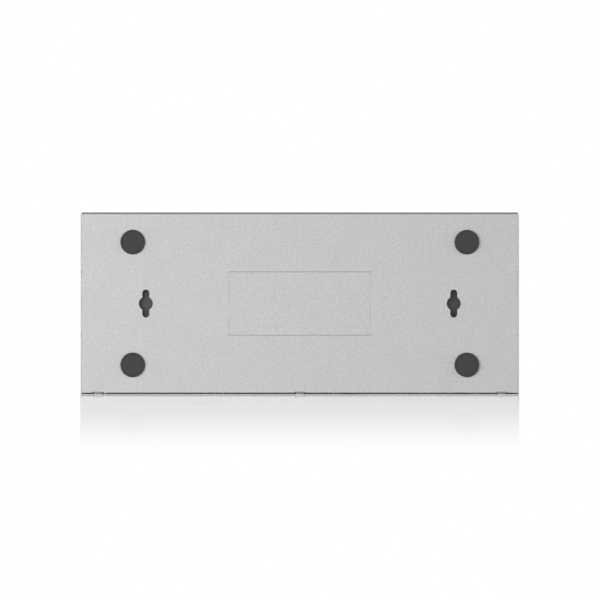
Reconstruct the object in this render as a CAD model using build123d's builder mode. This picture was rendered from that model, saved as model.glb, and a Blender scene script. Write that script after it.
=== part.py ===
from build123d import *
import os

os.makedirs("parts", exist_ok=True)

# An eight-port desktop network switch in a folded steel case. All sizes are in millimetres.
# It stands on its four feet on z = 0, with the ports facing -Y and the power socket facing +Y.
# The origin is under the middle of the case, on the surface that the feet rest on.

# Case, folded from two sheets
case_width = 250.0
case_depth = 104.0
case_height = 27.0
base_sheet = 0.8
cover_sheet = 0.5
fold_radius = 0.3  # inside every fold of the case
nest_gap = 0.2  # between two sheets that nest or meet edge to edge
plate_setback = 0.7  # open slit between the cover's front wall and the bottom plate
corner_setback = 0.5  # how far the rear wall's ends stop short of the side walls' outer faces
corner_relief = 1.2  # square notch where two folds meet
skirt_height = 7.5  # the cover's side and rear flanges, from the top of the case
skirt_relief = 1.0  # slit beside the end of each fold of the cover

# Rubber feet under the plate
foot_diameter = 14.0
foot_height = 2.0
foot_rim = 0.4
foot_inset_x = 29.75
foot_inset_y = 17.0

# Keyholes for hanging the case on two screws, either way up
keyhole_inset = 37.2
keyhole_head = 8.0
keyhole_slot = 4.0
keyhole_length = 16.0

# Bare field pressed a little into the plate
field_width = 81.2
field_depth = 36.5
field_step = 0.4
field_slope = 45.0  # degrees, of the pressed step

# Tongues of the front wall, which lie on the plate in three notches
tongue_width = 4.6
tongue_inset = 9.8
tongue_overlap = 3.2
tongue_relief = 0.6
notch_width = 5.6
notch_depth = 0.5

# Air slots in the side walls
vent_count = 14
vent_pitch = 4.4
vent_width = 2.0
vent_margin = 2.6  # left above the plate and below the cover's skirt
vent_shift = 2.0  # towards the rear

# Security slot in the rear wall
lock_slot_length = 7.0
lock_slot_width = 3.0
lock_slot_inset = 22.0

# Screws that hold the cover, one at each side
cover_screw_inset = 18.0
cover_screw_drop = 3.5  # below the top of the side wall
cover_screw_head = 5.0
cover_screw_length = 5.0

# Screws, shared values
screw_shank = 2.9
screw_play = 0.05  # between a shank or a head and the hole it seats in

# Circuit board on its standoffs, with a film clamped under it
standoff_height = 5.6
standoff_flats = 5.5
film_thickness = 0.3
film_margin = 2.0
board_thickness = 1.6
board_margin_x = 13.0
board_front_margin = 4.0
board_rear_margin = 4.0
board_hole = 3.4
board_hole_inset_x = 6.0
board_hole_inset_rear = 8.0
board_hole_gap = 5.8  # from the transformers back to the front row of holes
board_screw_flats = 5.5
board_screw_head_height = 2.0
board_screw_length = 5.5

# Port blocks, two of four sockets each
block_count = 2
ports_per_block = 4
port_pitch = 15.6
ports_inset = 13.5
block_gap = 5.0
block_recess = 0.2  # behind the cover's front face
housing_height = 13.1
housing_depth = 20.8
housing_edge = 0.15
shield_sheet = 0.25
shield_fold = 0.2  # bevel that stands for the folds along the top
window_gap = 0.35

# One socket, its stepped opening and its latch notch
cavity_width = 11.9
cavity_height = 6.9
cavity_floor = 2.6  # above the board
cavity_length = 13.5
latch_width = 6.3
latch_height = 1.5
key_width = 4.1
key_height = 0.9
shield_rim = 0.2  # plastic showing round the opening

# Eight sprung wires in each socket, held in a moulded insert
contact_count = 8
contact_pitch = 1.02
contact_wire = 0.35
contact_play = 0.03
contact_front = 2.4  # where the wires turn back, behind the housing's front
contact_turn = 0.6
contact_reach = 12.0
contact_rise = 2.2
contact_tail = 1.0  # below the board
pin_row_near = 16.8
pin_row_far = 18.8
well_width = 8.6
well_depth = 1.6
well_start = 1.6
pocket_wall = 0.8  # between a cavity and the insert behind it
pocket_width = 12.0
pocket_height = 6.0
insert_play = 0.1
pin_slot_play = 0.1

# Shield: solder tabs and grounding fingers
tab_width = 1.6
tab_tail = 1.0
tab_setback_front = 6.5
tab_setback_rear = 15.5
tab_slot_play = 0.2
finger_width = 1.8
finger_sheet = 0.2
finger_spread = 6.0
finger_start = 0.15
finger_crest = 0.9
finger_length = 4.5
finger_seat = 0.1  # how deep a finger's ends sink into the shield's own sheet
finger_clearance = 0.05

# Power socket
dc_inset = 40.0
dc_width = 9.0
dc_height = 11.0
dc_length = 14.2
dc_flange_length = 3.5
dc_axis_height = 6.5
dc_bore = 6.4
dc_bore_depth = 10.0
dc_barrel = 8.4
dc_wall_hole = 8.2
dc_front_gap = 0.1
dc_pin_diameter = 2.1
dc_pin_tip_setback = 1.2
dc_strip = 0.3
dc_strip_width = 2.4
dc_strip_play = 0.2
dc_spring_near = 3.2
dc_spring_far = 8.6
dc_spring_rise = 0.5
dc_tail = 1.0
dc_tab_slot = 0.8

# Indicator lights and the clear guide in front of them
power_led_inset = 25.0
port_led_inset = 39.0
led_row_share = 0.63  # of the room beside the port blocks
led_width = 3.0
led_depth = 2.6
led_height = 1.4
guide_end = 3.0  # past the middles of the outer lenses
guide_depth = 4.0
guide_leg_gap = 0.3
guide_height = 8.2
guide_mirror = 2.6
guide_setback = 0.9  # behind the front wall
guide_lens_width = 3.0
guide_lens_height = 1.6
guide_hole_play = 0.15
guide_lens_middle = 6.6  # above the board
guide_lens_recess = 0.1
guide_peg = 1.4
guide_peg_play = 0.1
guide_peg_tail = 0.5

# Switch chip and its heat sink
chip_inset = 79.0
chip_setback = 61.0
chip_side = 22.0
chip_height = 1.5
chip_slope = 10.0
sink_side = 28.0
sink_base = 2.0
sink_height = 9.0
fin_count = 9
fin_thickness = 1.0

# Isolation transformers, one for two ports
transformer_width = 24.0
transformer_depth = 13.5
transformer_height = 4.4
transformer_slope = 6.0
transformer_gap = 3.2  # behind the port blocks

# Other parts on the board
crystal_length = 11.2
crystal_width = 4.7
crystal_height = 3.5
crystal_corner = 1.5
inductor_side = 12.0
inductor_height = 6.2
inductor_corner = 2.5
capacitor_diameter = 10.0
capacitor_headroom = 2.0  # under the cover
capacitor_pitch = 14.0
small_chip_length = 5.0
small_chip_width = 4.0
small_chip_height = 1.5

# Levels, from the feet up
plate_bottom_z = foot_height
plate_top_z = plate_bottom_z + base_sheet
case_top_z = plate_bottom_z + case_height
base_bend = base_sheet + fold_radius
cover_bend = cover_sheet + fold_radius
base_wall_top_z = case_top_z - cover_bend
skirt_bottom_z = case_top_z - skirt_height
standoff_top_z = plate_top_z + standoff_height
board_bottom_z = standoff_top_z + film_thickness
board_top_z = board_bottom_z + board_thickness
cavity_floor_z = board_top_z + cavity_floor
block_top_z = board_top_z + housing_height + shield_sheet

# Places across and along the case
side_x = case_width / 2
front_y = -case_depth / 2
rear_y = case_depth / 2
front_wall_inner_y = front_y + cover_sheet
base_front_y = front_wall_inner_y + nest_gap
plate_front_y = front_wall_inner_y + plate_setback
rear_wall_inner_y = rear_y - base_sheet
cover_side_x = side_x - base_sheet - nest_gap
cover_rear_y = rear_wall_inner_y - nest_gap
cover_screw_z = base_wall_top_z - cover_screw_drop
cover_screw_y = rear_y - cover_screw_inset

housing_width = ports_per_block * port_pitch
block_width = housing_width + 2 * shield_sheet
block_front_y = front_y + block_recess
housing_front_y = block_front_y + shield_sheet
housing_rear_y = housing_front_y + housing_depth
block_rear_y = housing_rear_y + shield_sheet
last_block_x = side_x - ports_inset - block_width / 2
block_places = [last_block_x - n * (block_width + block_gap) for n in range(block_count)][::-1]
port_offsets = [(n - (ports_per_block - 1) / 2) * port_pitch for n in range(ports_per_block)]
port_places = [block_x + offset_x for block_x in block_places for offset_x in port_offsets]
pocket_front_y = housing_front_y + cavity_length + pocket_wall
transformer_rear_y = block_rear_y + transformer_gap + transformer_depth

board_side_x = side_x - board_margin_x
board_front_y = front_y + board_front_margin
board_rear_y = rear_y - board_rear_margin
board_middle_y = (board_front_y + board_rear_y) / 2
board_hole_rear_y = board_rear_y - board_hole_inset_rear
board_hole_x = board_side_x - board_hole_inset_x
board_holes = [
    (x, y)
    for x in (-board_hole_x, board_hole_x)
    for y in (board_hole_rear_y, transformer_rear_y + board_hole_gap)
]

dc_x = -side_x + dc_inset
dc_face_y = rear_wall_inner_y - dc_front_gap
dc_axis_z = board_top_z + dc_axis_height

led_row_x = -side_x + port_led_inset
led_room = block_places[0] - block_width / 2 - led_row_x
led_pitch = led_row_share * led_room / (block_count * ports_per_block - 1)
led_places = [-side_x + power_led_inset]
led_places += [led_row_x + n * led_pitch for n in range(block_count * ports_per_block)]
guide_front_y = front_wall_inner_y + guide_setback
guide_rear_y = guide_front_y + guide_depth
guide_lens_z = board_top_z + guide_lens_middle
led_y = (guide_front_y + guide_rear_y) / 2

chip_x = side_x - chip_inset
chip_y = front_y + chip_setback


# Socket opening, with its origin at the middle of the cavity floor
def socket_outline(rim):
    steps = (
        (cavity_width, cavity_height),
        (latch_width, cavity_height + latch_height),
        (key_width, cavity_height + latch_height + key_height),
    )
    with BuildSketch() as outline:
        for width, height in steps:
            with Locations((0, -rim)):
                Rectangle(width + 2 * rim, height + 2 * rim, align=(Align.CENTER, Align.MIN))
    return outline.sketch


# Strip of sheet or wire that follows a bent path in the YZ plane at x, and is as wide as given
def bent_strip(x, path, bends, thickness, width):
    with BuildPart() as strip:
        with BuildSketch(Plane.YZ.offset(x - width / 2)):
            with BuildLine():
                FilletPolyline(*path, radius=bends)
            trace(line_width=thickness)
        extrude(amount=width)
    return strip.part


# Bottom tray: the plate, both side walls and the rear wall, folded from one sheet
with BuildPart() as base_chassis:
    with BuildSketch(Plane.XY.offset(plate_bottom_z)):
        with Locations((0, (base_front_y + rear_y) / 2)):
            Rectangle(case_width, rear_y - base_front_y)
    extrude(amount=base_wall_top_z - plate_bottom_z)
    fillet(base_chassis.edges().group_by(Axis.Z)[0].sort_by(Axis.Y)[1:], radius=base_bend)
    open_top = base_chassis.faces().sort_by(Axis.Z)[-1]
    open_front = base_chassis.faces().sort_by(Axis.Y)[0]
    offset(amount=-base_sheet, openings=[open_top, open_front])
    # the seam beside the rear wall, and the relief where the folds meet
    with BuildSketch(Plane.XY.offset(plate_bottom_z)):
        for side in (-1, 1):
            with Locations((side * side_x, rear_wall_inner_y - nest_gap / 2)):
                Rectangle(2 * base_bend, nest_gap)
            with Locations((side * side_x, rear_y)):
                Rectangle(2 * corner_setback, 2 * base_sheet)
    extrude(amount=base_wall_top_z - plate_bottom_z, mode=Mode.SUBTRACT)
    with BuildSketch(Plane.XY.offset(plate_bottom_z)):
        with Locations((-side_x, rear_y), (side_x, rear_y)):
            Rectangle(2 * corner_relief, 2 * corner_relief)
    extrude(amount=base_bend, mode=Mode.SUBTRACT)
    # the plate's front edge, set back behind the front wall, with a notch over each tongue
    with BuildSketch(Plane.XY.offset(plate_bottom_z)):
        with Locations((0, base_front_y)):
            Rectangle(case_width - 2 * base_bend, 2 * (plate_front_y - base_front_y))
        with Locations((0, plate_front_y)):
            with GridLocations(side_x - tongue_inset, 0, 3, 1):
                Rectangle(notch_width, 2 * notch_depth)
    extrude(amount=base_sheet, mode=Mode.SUBTRACT)
    # double-ended keyholes
    with BuildSketch(Plane.XY.offset(plate_bottom_z)):
        with Locations((keyhole_inset - side_x, 0), (side_x - keyhole_inset, 0)):
            SlotOverall(keyhole_length, keyhole_slot, rotation=90)
            Circle(keyhole_head / 2)
    extrude(amount=base_sheet, mode=Mode.SUBTRACT)
    # the pressed field: a step in the underside, and the same step standing up inside
    with BuildSketch(Plane.XY.offset(plate_top_z)):
        Rectangle(field_width, field_depth)
    extrude(amount=field_step, taper=field_slope)
    with BuildSketch(Plane.XY.offset(plate_bottom_z)):
        Rectangle(field_width, field_depth)
    extrude(amount=field_step, taper=field_slope, mode=Mode.SUBTRACT)
    # air slots through both side walls
    vent_bottom_z = plate_top_z + vent_margin
    vent_top_z = skirt_bottom_z - vent_margin
    with BuildSketch(Plane.YZ.offset(-side_x)):
        with Locations((vent_shift, (vent_bottom_z + vent_top_z) / 2)):
            with GridLocations(vent_pitch, 0, vent_count, 1):
                Rectangle(vent_width, vent_top_z - vent_bottom_z)
    extrude(amount=case_width, mode=Mode.SUBTRACT)
    # hole for the power socket and the security slot
    with BuildSketch(Plane.XZ.offset(-rear_y)):
        with Locations((dc_x, dc_axis_z)):
            Circle(dc_wall_hole / 2)
        with Locations((side_x - lock_slot_inset, dc_axis_z)):
            Rectangle(lock_slot_length, lock_slot_width)
    extrude(amount=base_sheet, mode=Mode.SUBTRACT)
    # conical seat for a screw in each side wall
    seat_radius = cover_screw_head / 2 + screw_play
    for side in (-1, 1):
        wall_plane = Plane(origin=(side * side_x, 0, 0), x_dir=(0, side, 0), z_dir=(side, 0, 0))
        with BuildSketch(wall_plane):
            with Locations((side * cover_screw_y, cover_screw_z)):
                Circle(seat_radius)
        extrude(amount=-base_sheet, taper=45, mode=Mode.SUBTRACT)
base_chassis.part.label = "base_chassis"
export_step(base_chassis.part, "parts/base_chassis.step")

# Cover: the top, the front wall, both side skirts and the rear flange, folded from one sheet
with BuildPart() as top_cover:
    with BuildSketch(Plane.XY.offset(plate_bottom_z)):
        with Locations((0, (front_y + cover_rear_y) / 2)):
            Rectangle(2 * cover_side_x, cover_rear_y - front_y)
    extrude(amount=case_height)
    fillet(top_cover.edges().group_by(Axis.Z)[-1], radius=cover_bend)
    offset(amount=-cover_sheet, openings=top_cover.faces().sort_by(Axis.Z)[0])
    # skirts and rear flange cut to their height
    with BuildSketch(Plane.XY.offset(plate_bottom_z)):
        with Locations((0, (front_wall_inner_y + rear_y) / 2)):
            Rectangle(case_width, rear_y - front_wall_inner_y)
    extrude(amount=skirt_bottom_z - plate_bottom_z, mode=Mode.SUBTRACT)
    # relief slits at the four corners
    slit_x = cover_side_x - cover_bend / 2
    with BuildSketch(Plane.XY.offset(skirt_bottom_z)):
        for side in (-1, 1):
            with Locations((side * slit_x, front_wall_inner_y + skirt_relief / 2)):
                Rectangle(cover_bend, skirt_relief)
            with Locations((side * slit_x, cover_rear_y)):
                Rectangle(cover_bend, 2 * cover_bend)
    extrude(amount=skirt_height, mode=Mode.SUBTRACT)
    # the front wall reaches over the ends of the side walls
    with BuildSketch(Plane.XY.offset(plate_bottom_z)):
        with Locations((0, front_y + cover_sheet / 2)):
            Rectangle(case_width, cover_sheet)
    extrude(amount=case_height - cover_bend)
    # windows for the port blocks and holes for the light guide
    with BuildSketch(Plane.XZ.offset(-front_y)):
        with Locations(*[(x, (board_top_z + block_top_z) / 2) for x in block_places]):
            window_height = block_top_z - board_top_z + 2 * window_gap
            Rectangle(block_width + 2 * window_gap, window_height)
        with Locations(*[(x, guide_lens_z) for x in led_places]):
            Rectangle(guide_lens_width + 2 * guide_hole_play, guide_lens_height + 2 * guide_hole_play)
    extrude(amount=-cover_sheet, mode=Mode.SUBTRACT)
    # tongues: the wall is slit beside each, and turns in over the plate
    with BuildSketch(Plane.XZ.offset(-front_y)):
        with Locations((0, plate_bottom_z)):
            with GridLocations(side_x - tongue_inset, 0, 3, 1):
                slit_top = base_sheet + cover_bend + tongue_relief
                Rectangle(tongue_width + 2 * tongue_relief, 2 * slit_top)
    extrude(amount=-cover_sheet, mode=Mode.SUBTRACT)
    tongue_root_z = plate_bottom_z + base_sheet + cover_bend + tongue_relief
    tongue_path = (
        (front_y + cover_sheet / 2, tongue_root_z),
        (front_y + cover_sheet / 2, plate_top_z + cover_sheet / 2),
        (plate_front_y + tongue_overlap, plate_top_z + cover_sheet / 2),
    )
    for tongue_x in (tongue_inset - side_x, 0, side_x - tongue_inset):
        fold = fold_radius + cover_sheet / 2
        add(bent_strip(tongue_x, tongue_path, fold, cover_sheet, tongue_width))
    # holes in the skirts for the side screws
    with BuildSketch(Plane.YZ.offset(-side_x)):
        with Locations((cover_screw_y, cover_screw_z)):
            Circle(screw_shank / 2 + screw_play)
    extrude(amount=case_width, mode=Mode.SUBTRACT)
top_cover.part.label = "top_cover"
export_step(top_cover.part, "parts/top_cover.step")

# Four rubber feet, flat discs with a bevelled rim
for row, foot_y in (("front", front_y + foot_inset_y), ("rear", rear_y - foot_inset_y)):
    for hand, foot_x in (("left", foot_inset_x - side_x), ("right", side_x - foot_inset_x)):
        with BuildPart() as foot:
            with BuildSketch(Plane.XY):
                with Locations((foot_x, foot_y)):
                    Circle(foot_diameter / 2)
            extrude(amount=foot_height)
            chamfer(foot.edges().sort_by(Axis.Z)[0], length=foot_rim)
        foot.part.label = f"foot_{row}_{hand}"
        export_step(foot.part, f"parts/foot_{row}_{hand}.step")

# Hexagonal standoffs on the plate, one under each hole of the board
with BuildPart() as board_standoffs:
    with BuildSketch(Plane.XY.offset(plate_top_z)):
        with Locations(*board_holes):
            RegularPolygon(standoff_flats / 2, side_count=6, major_radius=False)
            Circle(screw_shank / 2 + screw_play, mode=Mode.SUBTRACT)
    extrude(amount=standoff_height)
board_standoffs.part.label = "board_standoffs"
export_step(board_standoffs.part, "parts/board_standoffs.step")

# Insulating film under the board, cut out round the pins
with BuildPart() as insulation_sheet:
    with BuildSketch(Plane.XY.offset(standoff_top_z)):
        with Locations((0, board_middle_y)):
            Rectangle(
                2 * (board_side_x - film_margin),
                board_rear_y - board_front_y - 2 * film_margin,
            )
        with Locations(*board_holes):
            Rectangle(board_hole, board_hole, mode=Mode.SUBTRACT)
        with Locations(*[(x, board_front_y) for x in block_places]):
            Rectangle(
                block_width + 2 * film_margin,
                2 * (block_rear_y - board_front_y),
                mode=Mode.SUBTRACT,
            )
        with Locations(((led_places[0] + led_places[-1]) / 2, board_front_y)):
            Rectangle(
                led_places[-1] - led_places[0] + 2 * (guide_end + film_margin),
                2 * (guide_rear_y - board_front_y + film_margin),
                mode=Mode.SUBTRACT,
            )
        with Locations((dc_x, board_rear_y)):
            Rectangle(
                dc_width + 2 * film_margin,
                2 * (board_rear_y - dc_face_y + dc_length + film_margin),
                mode=Mode.SUBTRACT,
            )
    extrude(amount=film_thickness)
insulation_sheet.part.label = "insulation_sheet"
export_step(insulation_sheet.part, "parts/insulation_sheet.step")

# Places of the pins and tabs that pass through the board
pin_rows = [housing_front_y + pin_row_near, housing_front_y + pin_row_far]
pin_slot_length = (contact_count - 1) * contact_pitch + contact_wire + 2 * pin_slot_play
tab_offsets = [side * (block_width - shield_sheet) / 2 for side in (-1, 1)]
tab_rows = [block_front_y + tab_setback_front, block_front_y + tab_setback_rear]
guide_peg_places = [(x, led_y) for x in (
    (led_places[0] + led_places[1]) / 2,
    led_places[-1] - led_pitch / 2,
)]
dc_tab_y = dc_face_y - dc_length - dc_strip / 2
dc_spring_y = dc_face_y - dc_spring_far

# Circuit board
with BuildPart() as circuit_board:
    with BuildSketch(Plane.XY.offset(board_bottom_z)):
        with Locations((0, board_middle_y)):
            Rectangle(2 * board_side_x, board_rear_y - board_front_y)
        with Locations(*board_holes):
            Circle(board_hole / 2, mode=Mode.SUBTRACT)
        # one slot under each socket for both rows of its pins
        with Locations(*[(x, sum(pin_rows) / 2) for x in port_places]):
            pin_slot_depth = pin_row_far - pin_row_near + contact_wire + 2 * pin_slot_play
            Rectangle(pin_slot_length, pin_slot_depth, mode=Mode.SUBTRACT)
        with Locations(*[(x + dx, y) for x in block_places for dx in tab_offsets for y in tab_rows]):
            Rectangle(
                shield_sheet + 2 * tab_slot_play,
                tab_width + 2 * tab_slot_play,
                mode=Mode.SUBTRACT,
            )
        with Locations(*guide_peg_places):
            Rectangle(
                guide_peg + 2 * guide_peg_play,
                guide_peg + 2 * guide_peg_play,
                mode=Mode.SUBTRACT,
            )
        with Locations((dc_x, dc_tab_y), (dc_x, dc_spring_y)):
            Rectangle(dc_strip_width + 2 * dc_strip_play, dc_tab_slot, mode=Mode.SUBTRACT)
    extrude(amount=board_thickness)
circuit_board.part.label = "circuit_board"
export_step(circuit_board.part, "parts/circuit_board.step")

# Hexagon-head screws that clamp the board and the film to the standoffs
with BuildPart() as board_screws:
    with BuildSketch(Plane.XY.offset(board_top_z)):
        with Locations(*board_holes):
            RegularPolygon(board_screw_flats / 2, side_count=6, major_radius=False)
    extrude(amount=board_screw_head_height)
    with BuildSketch(Plane.XY.offset(board_top_z)):
        with Locations(*board_holes):
            Circle(screw_shank / 2)
    extrude(amount=-board_screw_length)
board_screws.part.label = "board_screws"
export_step(board_screws.part, "parts/board_screws.step")

# Countersunk screws at the sides, flush with the side walls
with BuildPart() as cover_screws:
    for side in (-1, 1):
        wall_plane = Plane(origin=(side * side_x, 0, 0), x_dir=(0, side, 0), z_dir=(side, 0, 0))
        screw_place = (side * cover_screw_y, cover_screw_z)
        with BuildSketch(wall_plane):
            with Locations(screw_place):
                Circle(cover_screw_head / 2)
        extrude(amount=-(cover_screw_head - screw_shank) / 2, taper=45)
        with BuildSketch(wall_plane):
            with Locations(screw_place):
                Circle(screw_shank / 2)
        extrude(amount=-cover_screw_length)
cover_screws.part.label = "cover_screws"
export_step(cover_screws.part, "parts/cover_screws.step")

# Port blocks: a moulded housing with four stepped sockets, in a folded shield
for block_number, block_x in enumerate(block_places, start=1):
    block_ports = [block_x + offset_x for offset_x in port_offsets]

    with BuildPart() as housing:
        with BuildSketch(Plane.XY.offset(board_top_z)):
            with Locations((block_x, (housing_front_y + housing_rear_y) / 2)):
                Rectangle(housing_width, housing_depth)
        extrude(amount=housing_height)
        chamfer(housing.edges().filter_by(Axis.Z), length=housing_edge)
        chamfer(housing.edges().group_by(Axis.Z)[-1], length=housing_edge)
        # the cavities that take the plugs
        with BuildSketch(Plane.XZ.offset(-housing_front_y)):
            with Locations(*[(x, cavity_floor_z) for x in block_ports]):
                add(socket_outline(0))
        extrude(amount=-cavity_length, mode=Mode.SUBTRACT)
        # wells under the cavities for the wires, open to the inserts
        with BuildSketch(Plane.XZ.offset(-(housing_front_y + well_start))):
            with Locations(*[(x, cavity_floor_z) for x in block_ports]):
                Rectangle(well_width, well_depth, align=(Align.CENTER, Align.MAX))
        extrude(amount=-(pocket_front_y - housing_front_y - well_start), mode=Mode.SUBTRACT)
        # pockets that take the inserts from behind
        with BuildSketch(Plane.XY.offset(board_top_z)):
            with Locations(*[(x, (pocket_front_y + housing_rear_y) / 2) for x in block_ports]):
                Rectangle(pocket_width, housing_rear_y - pocket_front_y)
        extrude(amount=pocket_height, mode=Mode.SUBTRACT)
    housing.part.label = f"port_block_{block_number}_housing"
    export_step(housing.part, f"parts/port_block_{block_number}_housing.step")

    with BuildPart() as shield:
        with BuildSketch(Plane.XY.offset(board_top_z)):
            with Locations((block_x, (block_front_y + block_rear_y) / 2)):
                Rectangle(block_width, block_rear_y - block_front_y)
        extrude(amount=block_top_z - board_top_z)
        offset(amount=-shield_sheet, openings=shield.faces().sort_by(Axis.Z)[0])
        chamfer(shield.faces().sort_by(Axis.Z)[-1].edges(), length=shield_fold)
        # openings over the sockets, a little larger than the cavities
        with BuildSketch(Plane.XZ.offset(-block_front_y)):
            with Locations(*[(x, cavity_floor_z) for x in block_ports]):
                add(socket_outline(shield_rim))
        extrude(amount=-shield_sheet, mode=Mode.SUBTRACT)
        # solder tabs that pass through the board
        with BuildSketch(Plane.XY.offset(board_top_z)):
            with Locations(*[(block_x + dx, y) for dx in tab_offsets for y in tab_rows]):
                Rectangle(shield_sheet, tab_width)
        extrude(amount=-(board_thickness + tab_tail))
        # grounding fingers that spring up behind the front wall
        crest_z = block_top_z + window_gap - finger_clearance - finger_sheet / 2
        finger_path = (
            (block_front_y + finger_start + shield_sheet, block_top_z - finger_seat),
            (block_front_y + finger_crest, crest_z),
            (block_front_y + finger_length, block_top_z - finger_seat / 2),
        )
        for port_x in block_ports:
            for side in (-1, 1):
                finger_x = port_x + side * finger_spread / 2
                add(bent_strip(finger_x, finger_path, 0, finger_sheet, finger_width))
    shield.part.label = f"port_block_{block_number}_shield"
    export_step(shield.part, f"parts/port_block_{block_number}_shield.step")

# Contacts: eight sprung wires in each socket, and the moulded insert that holds their legs
leg_z = cavity_floor_z - well_depth + contact_wire / 2
for port_number, port_x in enumerate(port_places, start=1):
    wire_places = [
        (port_x + (n - (contact_count - 1) / 2) * contact_pitch, pin_rows[n % 2])
        for n in range(contact_count)
    ]

    with BuildPart() as contacts:
        for wire_x, pin_y in wire_places:
            wire_path = (
                (pin_y, board_bottom_z - contact_tail),
                (pin_y, leg_z),
                (housing_front_y + contact_front + contact_turn, leg_z),
                (housing_front_y + contact_front, leg_z + contact_turn),
                (housing_front_y + contact_reach, cavity_floor_z + contact_rise),
            )
            add(bent_strip(wire_x, wire_path, 0, contact_wire, contact_wire))
    contacts.part.label = f"port_{port_number}_contacts"
    export_step(contacts.part, f"parts/port_{port_number}_contacts.step")

    with BuildPart() as insert:
        insert_front_y = pocket_front_y + insert_play
        with BuildSketch(Plane.XY.offset(board_top_z)):
            with Locations((port_x, (insert_front_y + housing_rear_y) / 2)):
                Rectangle(pocket_width - 2 * insert_play, housing_rear_y - insert_front_y)
        extrude(amount=pocket_height - insert_play)
        # channel for the wires, which lie against its roof and turn down at its rear
        channel_rear_y = pin_rows[-1] + contact_wire / 2 + contact_play
        with BuildSketch(Plane.XY.offset(board_top_z)):
            with Locations((port_x, (insert_front_y + channel_rear_y) / 2)):
                Rectangle(pin_slot_length, channel_rear_y - insert_front_y)
        extrude(amount=leg_z + contact_wire / 2 - board_top_z, mode=Mode.SUBTRACT)
    insert.part.label = f"port_{port_number}_insert"
    export_step(insert.part, f"parts/port_{port_number}_insert.step")

# Power socket: a moulded body with a round bore, a centre pin and a spring contact
with BuildPart() as dc_jack_housing:
    with BuildSketch(Plane.XY.offset(board_top_z)):
        with Locations((dc_x, dc_face_y - dc_flange_length / 2)):
            Rectangle(dc_width, dc_flange_length)
    extrude(amount=dc_height)
    with BuildSketch(Plane.XZ.offset(-(dc_face_y - dc_length))):
        with Locations((dc_x, dc_axis_z)):
            Circle(dc_barrel / 2)
        with Locations((dc_x, board_top_z)):
            Rectangle(dc_barrel, dc_axis_height, align=(Align.CENTER, Align.MIN))
    extrude(amount=-(dc_length - dc_flange_length))
    with BuildSketch(Plane.XZ.offset(-dc_face_y)):
        with Locations((dc_x, dc_axis_z)):
            Circle(dc_bore / 2)
    extrude(amount=dc_bore_depth, mode=Mode.SUBTRACT)
    with BuildSketch(Plane.XZ.offset(-dc_face_y)):
        with Locations((dc_x, dc_axis_z)):
            Circle(dc_pin_diameter / 2)
    extrude(amount=dc_length, mode=Mode.SUBTRACT)
    # slot under the bore for the spring contact
    with BuildSketch(Plane.XY.offset(board_top_z)):
        with Locations((dc_x, dc_face_y - (dc_spring_near + dc_spring_far) / 2)):
            Rectangle(
                dc_strip_width + 2 * dc_strip_play,
                dc_spring_far - dc_spring_near + 2 * dc_strip_play + dc_strip,
            )
    extrude(amount=dc_axis_height - dc_pin_diameter, mode=Mode.SUBTRACT)
dc_jack_housing.part.label = "dc_jack_housing"
export_step(dc_jack_housing.part, "parts/dc_jack_housing.step")

with BuildPart() as dc_jack_pin:
    with BuildSketch(Plane.XZ.offset(-(dc_face_y - dc_length))):
        with Locations((dc_x, dc_axis_z)):
            Circle(dc_pin_diameter / 2)
    extrude(amount=-(dc_length - dc_pin_tip_setback))
    # solder tab that runs down behind the body into the board
    with BuildSketch(Plane.XY.offset(board_bottom_z - dc_tail)):
        with Locations((dc_x, dc_tab_y)):
            Rectangle(dc_strip_width, dc_strip)
    extrude(amount=dc_axis_z + dc_pin_diameter / 2 - board_bottom_z + dc_tail)
dc_jack_pin.part.label = "dc_jack_pin"
export_step(dc_jack_pin.part, "parts/dc_jack_pin.step")

dc_floor_z = dc_axis_z - dc_bore / 2
with BuildPart() as dc_jack_spring:
    spring_path = (
        (dc_spring_y, board_bottom_z - dc_tail),
        (dc_spring_y, dc_floor_z - dc_strip),
        ((dc_spring_y + dc_face_y - dc_spring_near) / 2, dc_floor_z + dc_spring_rise),
        (dc_face_y - dc_spring_near, dc_floor_z - dc_strip),
    )
    add(bent_strip(dc_x, spring_path, (0, 1.0), dc_strip, dc_strip_width))
dc_jack_spring.part.label = "dc_jack_spring"
export_step(dc_jack_spring.part, "parts/dc_jack_spring.step")

# Clear light guide: a bar with a sloped mirror face and one lens for each light
with BuildPart() as light_guide:
    guide_bottom_z = board_top_z + led_height + guide_leg_gap
    guide_top_z = board_top_z + guide_height
    guide_left_x = led_places[0] - guide_end
    with BuildSketch(Plane.YZ.offset(guide_left_x)):
        with BuildLine():
            Polyline(
                (guide_front_y, guide_bottom_z),
                (guide_rear_y, guide_bottom_z),
                (guide_rear_y, guide_top_z - guide_mirror),
                (guide_rear_y - guide_mirror, guide_top_z),
                (guide_front_y, guide_top_z),
                close=True,
            )
        make_face()
    extrude(amount=led_places[-1] + guide_end - guide_left_x)
    with BuildSketch(Plane.XZ.offset(-(front_y + guide_lens_recess))):
        with Locations(*[(x, guide_lens_z) for x in led_places]):
            Rectangle(guide_lens_width, guide_lens_height)
    extrude(amount=-(guide_front_y - front_y - guide_lens_recess))
    # pegs down through the board
    with BuildSketch(Plane.XY.offset(guide_bottom_z)):
        with Locations(*guide_peg_places):
            Rectangle(guide_peg, guide_peg)
    extrude(amount=-(guide_bottom_z - board_bottom_z + guide_peg_tail))
light_guide.part.label = "light_guide"
export_step(light_guide.part, "parts/light_guide.step")

# Indicator lights on the board under the guide
led_names = ["power_led"] + [f"port_{n}_led" for n in range(1, len(led_places))]
for led_name, led_x in zip(led_names, led_places):
    with BuildPart() as led:
        with BuildSketch(Plane.XY.offset(board_top_z)):
            with Locations((led_x, led_y)):
                Rectangle(led_width, led_depth)
        extrude(amount=led_height)
    led.part.label = led_name
    export_step(led.part, f"parts/{led_name}.step")

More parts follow.
